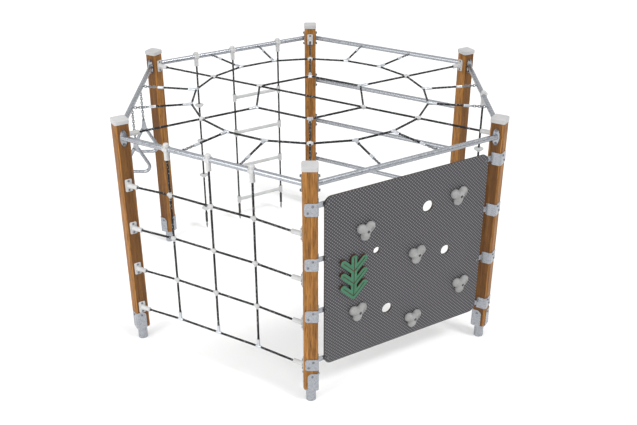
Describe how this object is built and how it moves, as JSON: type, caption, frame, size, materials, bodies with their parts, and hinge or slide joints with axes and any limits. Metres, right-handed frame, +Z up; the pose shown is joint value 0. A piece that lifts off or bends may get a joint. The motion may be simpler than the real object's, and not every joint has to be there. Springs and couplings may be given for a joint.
{
  "type": "hexagonal climbing frame",
  "caption": "Hexagonal timber climbing frame with overhead rope net, side net, climbing panel, bars, rope ladder, disc ropes and trapezes.",
  "frame": {"origin": "on the ground at the middle of the hexagon of posts", "axes": "+Z up; one post stands on -Y and one on +Y; the climbing panel faces +X-Y, the side net -X-Y"},
  "size_m": [2.7933, 3.118, 1.808],
  "materials": {
    "timber": "oiled glulam, satin",
    "cap_plastic": "light grey moulded",
    "galvanised_steel": "hot-dip galvanised, satin",
    "zinc_fasteners": "zinc plated",
    "chain_steel": "galvanised chain",
    "rope": "dark braided polyester over steel cores",
    "white_plastic": "white moulded",
    "fitting_aluminium": "satin",
    "panel_board": "dark film-faced board with an anti-slip print",
    "hold_plastic": "light grey, fine texture",
    "leaf_board": "green face, dark red-brown edge",
    "step_plastic": "light grey moulded",
    "rope_end": "black shrunk sleeve with a short chain"
  },
  "bodies": {
    "frame": {"bar_bolts": "zinc_fasteners", "bar_eyes": "zinc_fasteners", "climb_bar_high": "galvanised_steel", "climb_bar_low": "galvanised_steel", "climb_bar_middle": "galvanised_steel", "climbing_holds": "hold_plastic", "climbing_panel": "panel_board", "hold_bolts": "zinc_fasteners", "leaf_plate": "leaf_board", "net_ball_joints": "white_plastic", "net_cross_rope": "rope", "net_inner_ring_ropes": "rope", "net_outer_ring_ropes": "rope", "net_post_brackets": "white_plastic", "net_spoke_ropes": "rope", "net_t_joints": "fitting_aluminium", "net_tie_chains": "chain_steel", "net_tie_ferrules": "fitting_aluminium", "net_tie_ropes": "rope", "panel_bolts": "zinc_fasteners", "panel_brackets": "galvanised_steel", "post_back": "timber", "post_back_left": "timber", "post_back_right": "timber", "post_caps": "cap_plastic", "post_feet": "galvanised_steel", "post_front": "timber", "post_front_left": "timber", "post_front_right": "timber", "post_screws": "zinc_fasteners", "side_net_ball_joints": "white_plastic", "side_net_bar_clamps": "white_plastic", "side_net_drop_ropes": "rope", "side_net_post_brackets": "white_plastic", "side_net_row_ropes": "rope", "side_net_t_joints": "fitting_aluminium", "top_bar_back_left": "galvanised_steel", "top_bar_back_right": "galvanised_steel", "top_bar_front_left": "galvanised_steel", "top_bar_front_right": "galvanised_steel", "top_bar_left": "galvanised_steel", "top_bar_right": "galvanised_steel"},
    "left_disc_clamp": {"disc_rope_left_clamp": "white_plastic"},
    "left_disc_rope": {"disc_rope_left_rope": "rope", "disc_rope_left_discs": "step_plastic", "disc_rope_left_end": "rope_end"},
    "right_disc_clamp": {"disc_rope_right_clamp": "white_plastic"},
    "right_disc_rope": {"disc_rope_right_rope": "rope", "disc_rope_right_discs": "step_plastic", "disc_rope_right_end": "rope_end"},
    "ladder": {"ladder_bar_clamps": "white_plastic", "ladder_ropes": "rope", "ladder_rungs": "step_plastic", "ladder_rope_ends": "rope_end"},
    "trapeze_back_upper_chain": {"trapeze_back_upper_chain": "chain_steel"},
    "trapeze_back_lower_chain": {"trapeze_back_lower_chain": "chain_steel"},
    "trapeze_back_triangle": {"trapeze_back_triangle": "galvanised_steel"},
    "trapeze_front_upper_chain": {"trapeze_front_upper_chain": "chain_steel"},
    "trapeze_front_lower_chain": {"trapeze_front_lower_chain": "chain_steel"},
    "trapeze_front_triangle": {"trapeze_front_triangle": "galvanised_steel"}
  },
  "joints": [
    {"name": "left_disc_swing", "type": "hinge", "parent": "frame", "child": "left_disc_clamp", "pos_m": [-0.97725, 0.96465, 1.68], "axis": [-0.866, -0.5, 0], "range_deg": [-35, 35]},
    {"name": "left_disc_sway", "type": "hinge", "parent": "left_disc_clamp", "child": "left_disc_rope", "pos_m": [-0.97725, 0.96465, 1.612], "axis": [-0.5, 0.866, 0], "range_deg": [-10, 10]},
    {"name": "right_disc_swing", "type": "hinge", "parent": "frame", "child": "right_disc_clamp", "pos_m": [1.32404, 0, 1.68], "axis": [0, 1, 0], "range_deg": [-35, 35]},
    {"name": "right_disc_sway", "type": "hinge", "parent": "right_disc_clamp", "child": "right_disc_rope", "pos_m": [1.32404, 0, 1.612], "axis": [1, 0, 0], "range_deg": [-24, 24]},
    {"name": "ladder_swing", "type": "hinge", "parent": "frame", "child": "ladder", "pos_m": [-0.48622, 1.24815, 1.68], "axis": [-0.866, -0.5, 0], "range_deg": [-35, 35]},
    {"name": "trapeze_back_swing", "type": "hinge", "parent": "frame", "child": "trapeze_back_upper_chain", "pos_m": [-1.32404, 0.19, 1.635], "axis": [0, 1, 0], "range_deg": [-60, 60]},
    {"name": "trapeze_back_sway", "type": "hinge", "parent": "trapeze_back_upper_chain", "child": "trapeze_back_lower_chain", "pos_m": [-1.32404, 0.19, 1.544], "axis": [1, 0, 0], "range_deg": [-40, 40]},
    {"name": "trapeze_back_tilt", "type": "hinge", "parent": "trapeze_back_lower_chain", "child": "trapeze_back_triangle", "pos_m": [-1.32404, 0.19, 1.4161], "axis": [0, 1, 0], "range_deg": [-30, 30]},
    {"name": "trapeze_front_swing", "type": "hinge", "parent": "frame", "child": "trapeze_front_upper_chain", "pos_m": [-1.32404, -0.19, 1.635], "axis": [0, 1, 0], "range_deg": [-60, 60]},
    {"name": "trapeze_front_sway", "type": "hinge", "parent": "trapeze_front_upper_chain", "child": "trapeze_front_lower_chain", "pos_m": [-1.32404, -0.19, 1.544], "axis": [1, 0, 0], "range_deg": [-40, 40]},
    {"name": "trapeze_front_tilt", "type": "hinge", "parent": "trapeze_front_lower_chain", "child": "trapeze_front_triangle", "pos_m": [-1.32404, -0.19, 1.4161], "axis": [0, 1, 0], "range_deg": [-30, 30]}
  ]
}
